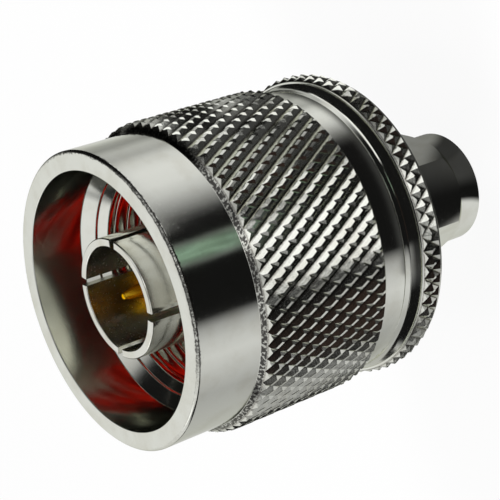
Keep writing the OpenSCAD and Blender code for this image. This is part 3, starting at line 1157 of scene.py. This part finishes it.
@dataclass
class SmallNut:
    """Small coupling nut: a hexagon with a round collar and an inside thread, in millimetres."""

    across_flats: float = 8.0
    flats: int = 6
    flat_turn: float = 83.0
    flat_edge: float = 0.035
    collar_r: float = 3.99
    collar_l: float = 1.9
    edge: float = 0.15
    blank_r: float = 4.75
    front_cone: float = 0.75 / 0.57
    rear_cone: float = 0.35 / 0.57
    major_r: float = 3.18
    minor_r: float = 2.85
    thread_l: float = 4.0
    pitch: float = 0.706
    groove_w: float = 0.3
    run_in: float = 0.15
    relief_r: float = 3.25
    relief_z1: float = 5.6
    bore_r: float = 2.75
    groove_r: float = 3.18
    groove_z: tuple[float, float] = (6.6, 7.3)

    def build(self) -> None:
        """Builds and dresses the nut."""
        whole = extent("sma_coupling_nut")
        reach = self.blank_r - self.collar_r
        lead = self.major_r - self.minor_r
        outline = [
            (self.major_r, whole.z0, 0.03),
            (self.collar_r - self.edge, whole.z0, 0.05),
            (self.collar_r, whole.z0 + self.edge, 0.05),
            (self.collar_r, self.collar_l),
            (self.blank_r, self.collar_l + reach * self.front_cone),
            (self.blank_r, whole.z1 - reach * self.rear_cone),
            (self.collar_r, whole.z1),
            (self.bore_r, whole.z1),
            (self.bore_r, self.groove_z[1]),
            (self.groove_r, self.groove_z[1]),
            (self.groove_r, self.groove_z[0]),
            (self.bore_r, self.groove_z[0]),
            (self.bore_r, self.relief_z1),
            (self.relief_r, self.relief_z1),
            (self.relief_r, self.thread_l),
            (self.major_r, self.thread_l),
            (self.major_r, lead + self.run_in),
            (self.minor_r, lead, 0.02),
        ]
        bm = lathe(outline)
        self.cut_flats(bm)
        low, high = lead + self.pitch / 2, self.thread_l - self.pitch / 2
        join(bm, thread(self.minor_r, lead, self.pitch, self.groove_w, low, high))
        add_piece("small_nut", bm, Body.SMALL_NUT, NICKEL, "sma_coupling_nut")

    def cut_flats(self, bm: BMesh) -> None:
        """Cuts the flats into the turned blank and eases their edges.

        Args:
            bm: Mesh of the blank.
        """
        # The flats have more corners than any face of the turned blank
        most_turned = 8
        for i in range(self.flats):
            angle = math.radians(self.flat_turn + 360 / self.flats * i)
            normal = Vector((math.cos(angle), math.sin(angle), 0))
            rim = cut(bm, normal * self.across_flats / 2, normal)
            bmesh.ops.edgeloop_fill(bm, edges=rim)
        rims = {e for f in bm.faces if len(f.verts) > most_turned for e in f.edges}
        round_off(bm, list(rims), self.flat_edge, EDGE_STEPS, Rounded.EDGES)


@dataclass
class SmallPlug:
    """Body, insulator, pin and gasket inside the small nut, in millimetres."""

    bore_r: float = 2.07
    tube_r: float = 2.28
    tube_l: float = 1.5
    barrel_r: float = 2.7
    seat_r: float = 2.4
    seat_z: tuple[float, float] = (6.68, 7.22)
    line_r: float = 0.635
    pin_r: float = 0.46
    pin_tip_r: float = 0.23
    pin_l: float = 2.2
    pin_taper_l: float = 0.5

    def build(self) -> None:
        """Builds and dresses every piece of the plug."""
        self.shell()
        bead = washer(self.line_r + PRESS_GAP, extent("sma_insulator"), 0.05, 0.05, 0, 0)
        add_piece("small_insulator", bead, Body.FIXED, PTFE, "sma_insulator")
        self.centre_contact()
        seal = washer(self.tube_r + PRESS_GAP, extent("sma_gasket"), 0.08, 0.12, 0.12, 0.08)
        add_piece("small_gasket", seal, Body.FIXED, SILICONE, "sma_gasket")

    def shell(self) -> None:
        """Builds the tube and the barrel that the nut turns on."""
        whole, boss_z = extent("sma_body"), extent("adapter_body").z0
        barrel_z0 = whole.z0 + self.tube_l
        outline = [
            (self.bore_r, whole.z0, 0.03),
            (self.tube_r, whole.z0, 0.05),
            (self.tube_r, barrel_z0),
            (self.barrel_r, barrel_z0, 0.05),
            (self.barrel_r, self.seat_z[0]),
            (self.seat_r, self.seat_z[0]),
            (self.seat_r, self.seat_z[1]),
            (self.barrel_r, self.seat_z[1]),
            (self.barrel_r, boss_z),
            (whole.r, boss_z),
            (whole.r, whole.z1),
            (self.bore_r, whole.z1),
        ]
        add_piece("small_body", lathe(outline), Body.FIXED, CONTACT, "sma_body")

    def centre_contact(self) -> None:
        """Builds the gold pin."""
        whole = extent("sma_center_contact")
        outline = [
            (0, whole.z0),
            (self.pin_tip_r, whole.z0, 0.06),
            (self.pin_r, whole.z0 + self.pin_taper_l, 0.1),
            (self.pin_r, whole.z0 + self.pin_l),
            (self.line_r, whole.z0 + self.pin_l, 0.05),
            (self.line_r, whole.z1),
            (0, whole.z1),
        ]
        bm = lathe(outline, closed=False, steps=PIN_STEPS)
        add_piece("small_centre_contact", bm, Body.FIXED, GOLD, "sma_center_contact")


@dataclass
class SnapRings:
    """The two split rings, which stay as the CAD made them."""

    nodes: tuple[str, str] = ("n_snap_ring", "sma_snap_ring")

    def build(self) -> None:
        """Dresses the rings."""
        for name in self.nodes:
            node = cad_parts[name]
            node.data.materials.clear()
            node.data.materials.append(BRONZE.material())
            LOG.info("%s: kept from the CAD model", name)


class Lamp(NamedTuple):
    """A soft lamp: its name, its place in metres and its power in watts."""

    name: str
    at: tuple[float, float, float]
    power: float


@dataclass
class Studio:
    """Floor, cards, tent, light and camera, in metres and degrees.

    The floor card, the flag and the tent stand for the cards and soft boxes around the set. They
    only show in reflections, and the lamps and the world light the rest. Levels go by azimuth.
    """

    floor_size: float = 1.6
    floor_tint: Colour = (0.86, 0.86, 0.86)
    shown_white: float = 0.9
    world_light: float = 0.4
    tent_r: float = 0.9
    card_z: float = 0.0001
    dim: float = 0.008
    floor_levels: Levels = (
        (-180, 0.45), (-165, 0.58), (-149, 0.72), (-138, 0.62), (-129, 0.42), (-121, 0.0), (-58, 0.0),
        (-53, 0.05), (-44, 0.32), (-34, 0.62), (-24, 0.8), (-10, 0.85), (3, 0.74), (12, 0.47), (23, 0.57),
        (33, 0.36), (42, 0.48), (54, 0.8), (120, 0.7), (180, 0.45),
    )
    tent_levels: Levels = (
        (-180, 0.85), (-130, 0.8), (-112, 0.4), (-95, 0.5), (-82, 1.5), (-70, 1.1), (-55, 0.3), (-32, 0.7),
        (-15, 1.0), (-3, 0.7), (10, 0.5), (30, 0.25), (60, 0.4), (100, 0.6), (130, 0.85), (180, 0.85),
    )
    right_edges: tuple[float, float, float, float] = (-64, -56, 11, 17)
    flag_r: float = 0.015
    flag_steps: int = 12
    flag_level: float = 0.01
    flag_heights: tuple[float, float, float, float] = (0.0114, 0.0128, 0.0164, 0.0176)
    flag_edges: tuple[float, float, float, float] = (-40, -31, 24, 40)
    lamp_size: float = 0.1
    lamp_aim: tuple[float, float, float] = (0, 0, 0.02)
    lamps_used: tuple[Lamp, ...] = (
        Lamp("right", (0.25, -0.02, 0.25), 0.5),
        Lamp("left", (-0.25, -0.02, 0.25), 0.5),
        Lamp("top", (-0.02, -0.03, 0.3), 0.16),
    )
    camera_at: tuple[float, float, float] = (0.0, -0.09243, 0.07976)
    camera_right: tuple[float, float, float] = (-0.32909, -0.52469, -0.78511)
    camera_up: tuple[float, float, float] = (0.94430, -0.18409, -0.27279)
    lens: float = 118.33
    sensor: float = 36.0
    clip: tuple[float, float] = (0.005, 20)

    def build(self) -> None:
        """Sets up the whole studio."""
        self.floor()
        self.floor_card()
        self.flag()
        self.tent()
        self.world()
        self.lamps()
        self.camera()
        bpy.context.scene.view_settings.view_transform = "Standard"

    def prop(self, name: str, bm: BMesh, mirrored_only: bool = True) -> Sheet:
        """Adds an object of the set.

        Args:
            name: Name of the object and its material.
            bm: Its mesh, which is freed.
            mirrored_only: Whether it shows in reflections alone.

        Returns:
            The empty node tree of its material.
        """
        mesh = bpy.data.meshes.new(name)
        bm.to_mesh(mesh)
        bm.free()
        made = bpy.data.materials.new(name)
        made.use_nodes = True
        mesh.materials.append(made)
        obj = bpy.data.objects.new(name, mesh)
        bpy.context.scene.collection.objects.link(obj)
        if mirrored_only:
            for ray in ("camera", "diffuse", "transmission", "volume_scatter", "shadow"):
                setattr(obj, f"visible_{ray}", False)
        return Sheet(made.node_tree)

    def total(self, sheet: Sheet, *terms: tuple) -> Number:
        """Adds up products.

        Args:
            sheet: Node tree that they go in.
            *terms: Factors of each product, as numbers or sockets.

        Returns:
            Socket with the sum, above the dim level of the whole set.
        """
        result = self.dim
        for term in terms:
            result = sheet.math("ADD", sheet.times(*term), result)
        return result

    def floor(self) -> None:
        """Makes the plain pale floor, which keeps a soft shadow."""
        bm = bmesh.new()
        bmesh.ops.create_grid(bm, x_segments=1, y_segments=1, size=self.floor_size)
        sheet = self.prop("floor", bm, mirrored_only=False)
        matt = sheet.add("ShaderNodeBsdfDiffuse", {"Color": (*self.floor_tint, 1)}).outputs[0]
        sheet.show(sheet.mixed(sheet.times(sheet.seen(), self.shown_white), matt, sheet.glow(1.0)))

    def floor_card(self) -> None:
        """Makes the cards on the floor: dark before the camera, grey at its right, pale at its left."""
        bm = bmesh.new()
        bmesh.ops.create_circle(bm, cap_ends=True, radius=self.tent_r, segments=96)
        bmesh.ops.translate(bm, verts=bm.verts[:], vec=(0, 0, self.card_z))
        sheet = self.prop("floor_card", bm)
        azimuth, where, reach = sheet.bearing()
        # Sides of the set
        left = sheet.span(azimuth, -123, -118, 1, 0)
        left_soft = sheet.span(azimuth, -123, -114, 1, 0)
        right = sheet.band(azimuth, *self.right_edges)
        front = sheet.band(azimuth, -104, -84, -64, -56)
        back = sheet.span(azimuth, 60, 80, 0, 1)
        behind = sheet.band(azimuth, 60, 80, 128, 150)
        rear = sheet.math("ADD", sheet.span(azimuth, -146, -134, 1, 0), sheet.span(azimuth, 105, 120, 0, 1))
        # The ring of cards, whose levels are skewed close to the object
        skew = sheet.times(
            sheet.span(azimuth, -38, 8, -14, 12),
            sheet.span(azimuth, -118, -62, 0.2, 1),
            sheet.span(reach, 0.03, 0.047, 1, 0),
        )
        turned = sheet.math("ADD", azimuth, skew)
        around = sheet.around(turned, self.floor_levels)
        start = sheet.raised(reach, sheet.span(azimuth, 44, 52, 0, 1), 0.009)
        aside = sheet.times(
            sheet.band(azimuth, 20, 28, 80, 90),
            sheet.span(start, 0.027, 0.031, 0, 1),
            sheet.span(reach, 0.041, 0.047, 1, 0),
        )
        inner = sheet.span(sheet.raised(reach, rear, 0.004), 0.0205, 0.0235, 0, 1)
        inner = sheet.times(inner, sheet.raised(1, aside, -0.95))
        outer = sheet.either(sheet.span(reach, 0.056, 0.064, 1, 0), behind)
        wide = sheet.times(sheet.either(left, back), sheet.span(reach, 0.075, 0.092, 1, 0))
        outer = sheet.either(outer, wide)
        # The foot, the far light at the right, the brown far floor and the green stripe
        close = sheet.span(reach, 0.012, 0.016, 1, 0)
        beyond = sheet.times(sheet.span(reach, 0.1, 0.14, 0, 1), sheet.span(azimuth, -20, -13, 0, 1))
        far = sheet.math("SUBTRACT", 1, beyond)
        brown = sheet.times(sheet.band(azimuth, -124, -114, -84, -70), sheet.span(reach, 0.12, 0.2, 0, 1))
        speckle = sheet.span(sheet.noise(where, 320, 3), 0.35, 0.65, 0.4, 1.3)
        stripe = sheet.times(
            sheet.band(turned, -88, -80, -75, -67), sheet.band(reach, 0.04, 0.05, 0.06, 0.075)
        )
        strength = self.total(
            sheet,
            (around, inner, outer),
            (right, sheet.span(reach, 0.058, 0.066, 0, 1.2), far),
            (right, close, sheet.span(azimuth, -36, -14, 0.03, 0.26)),
            (front, close, 0.045),
            (sheet.either(left_soft, back), close, 0.75),
            (sheet.band(azimuth, -172, -165, -141, -128), sheet.span(reach, 0.12, 0.2, 0, 0.5)),
            (sheet.band(reach, 0.0145, 0.017, 0.021, 0.024), 0.05),
            (brown, 0.035),
            (stripe, speckle, 0.4),
        )
        colour = sheet.blend(stripe, (1.0, 1.0, 1.0), (0.66, 1.0, 0.74))
        colour = sheet.blend(brown, colour, (1.0, 0.62, 0.5))
        sheet.show(sheet.glow(strength, colour))

    def flag(self) -> None:
        """Makes the small dark card at the right, which shades the flanks of the large knurl."""
        start, end = math.radians(self.flag_edges[0]), math.radians(self.flag_edges[-1])
        x, y = self.flag_r * math.cos(start), self.flag_r * math.sin(start)
        bm = bmesh.new()
        ends = [bm.verts.new((x, y, z)) for z in (self.flag_heights[0], self.flag_heights[-1])]
        spin(bm, ends + [bm.edges.new(ends)], end - start, self.flag_steps)
        sheet = self.prop("flag", bm)
        azimuth, where, _ = sheet.bearing()
        height = sheet.add("ShaderNodeSeparateXYZ", {0: where}).outputs[2]
        cover = sheet.times(sheet.band(azimuth, *self.flag_edges), sheet.band(height, *self.flag_heights))
        clear = sheet.add("ShaderNodeBsdfTransparent").outputs[0]
        sheet.show(sheet.mixed(cover, clear, sheet.glow(self.flag_level)))

    def tent(self) -> None:
        """Makes the tent: pale above, at the left and behind, with a low light at the right."""
        bm = bmesh.new()
        bmesh.ops.create_uvsphere(bm, u_segments=64, v_segments=32, radius=self.tent_r)
        cut(bm, (0, 0, self.card_z), (0, 0, -1), WELD * MM)
        sheet = self.prop("tent", bm)
        azimuth, where, _ = sheet.bearing()
        way = sheet.add("ShaderNodeVectorMath", {0: where}, operation="NORMALIZE").outputs[0]
        height = sheet.add("ShaderNodeSeparateXYZ", {0: way}).outputs[2]
        left = sheet.math("ADD", sheet.span(azimuth, -128, -118, 1, 0), sheet.span(azimuth, 128, 150, 0, 1))
        lowered = sheet.raised(height, sheet.band(azimuth, -165, -150, -110, -100), -0.15)
        corner = sheet.band(azimuth, -158, -140, -126, -119)
        behind = sheet.band(azimuth, 48, 64, 150, 164)
        right = sheet.band(azimuth, *self.right_edges)
        below = sheet.span(height, 0.6, 0.76, 1, 0)
        strength = self.total(
            sheet,
            (sheet.band(height, 0.6, 0.76, 0.88, 0.92), sheet.around(azimuth, self.tent_levels)),
            (sheet.span(height, 0.88, 0.92, 0, 1), 0.12),
            (left, below, sheet.span(lowered, 0.43, 0.5, 0, 0.85)),
            (behind, below, 0.85),
            (right, sheet.span(height, 0.02, 0.07, 1.2, 0), sheet.span(azimuth, -34, -22, 1, 0)),
            (corner, sheet.span(height, 0.1, 0.5, 0.22, 0.01)),
        )
        sheet.show(sheet.glow(strength))

    def world(self) -> None:
        """Makes the even, pale world."""
        world = bpy.data.worlds.new("studio")
        bpy.context.scene.world = world
        world.use_nodes = True
        sheet = Sheet(world.node_tree)
        strength = sheet.span(sheet.seen(), 0, 1, self.world_light, 1.0)
        sky = sheet.add("ShaderNodeBackground", {"Color": WHITE, "Strength": strength})
        sheet.add("ShaderNodeOutputWorld", {"Surface": sky.outputs[0]})

    def lamps(self) -> None:
        """Makes the soft lamps, whose own shapes don't show in reflections."""
        for lamp in self.lamps_used:
            data = bpy.data.lights.new(lamp.name, "AREA")
            data.shape = "DISK"
            data.size = self.lamp_size
            data.energy = lamp.power
            obj = bpy.data.objects.new(lamp.name, data)
            bpy.context.scene.collection.objects.link(obj)
            obj.location = lamp.at
            towards = Vector(self.lamp_aim) - Vector(lamp.at)
            obj.rotation_euler = towards.to_track_quat("-Z", "Y").to_euler()
            obj.visible_glossy = False

    def camera(self) -> None:
        """Makes the camera that the photo was taken with."""
        data = bpy.data.cameras.new("camera")
        data.sensor_width = self.sensor
        data.lens = self.lens
        data.clip_start, data.clip_end = self.clip
        obj = bpy.data.objects.new("camera", data)
        bpy.context.scene.collection.objects.link(obj)
        right, up = Vector(self.camera_right).normalized(), Vector(self.camera_up).normalized()
        turn = Matrix((right, up, right.cross(up))).transposed().to_4x4()
        obj.matrix_world = Matrix.Translation(self.camera_at) @ turn
        bpy.context.scene.camera = obj


def main() -> None:
    """Builds the adapter and its studio."""
    logging.basicConfig(level=logging.INFO, format="%(name)s: %(message)s")
    for part in (LargeNut(), AdapterBody(), LargePlug(), SmallNut(), SmallPlug(), SnapRings()):
        part.build()
    Studio().build()


if __name__ == "__main__":
    main()
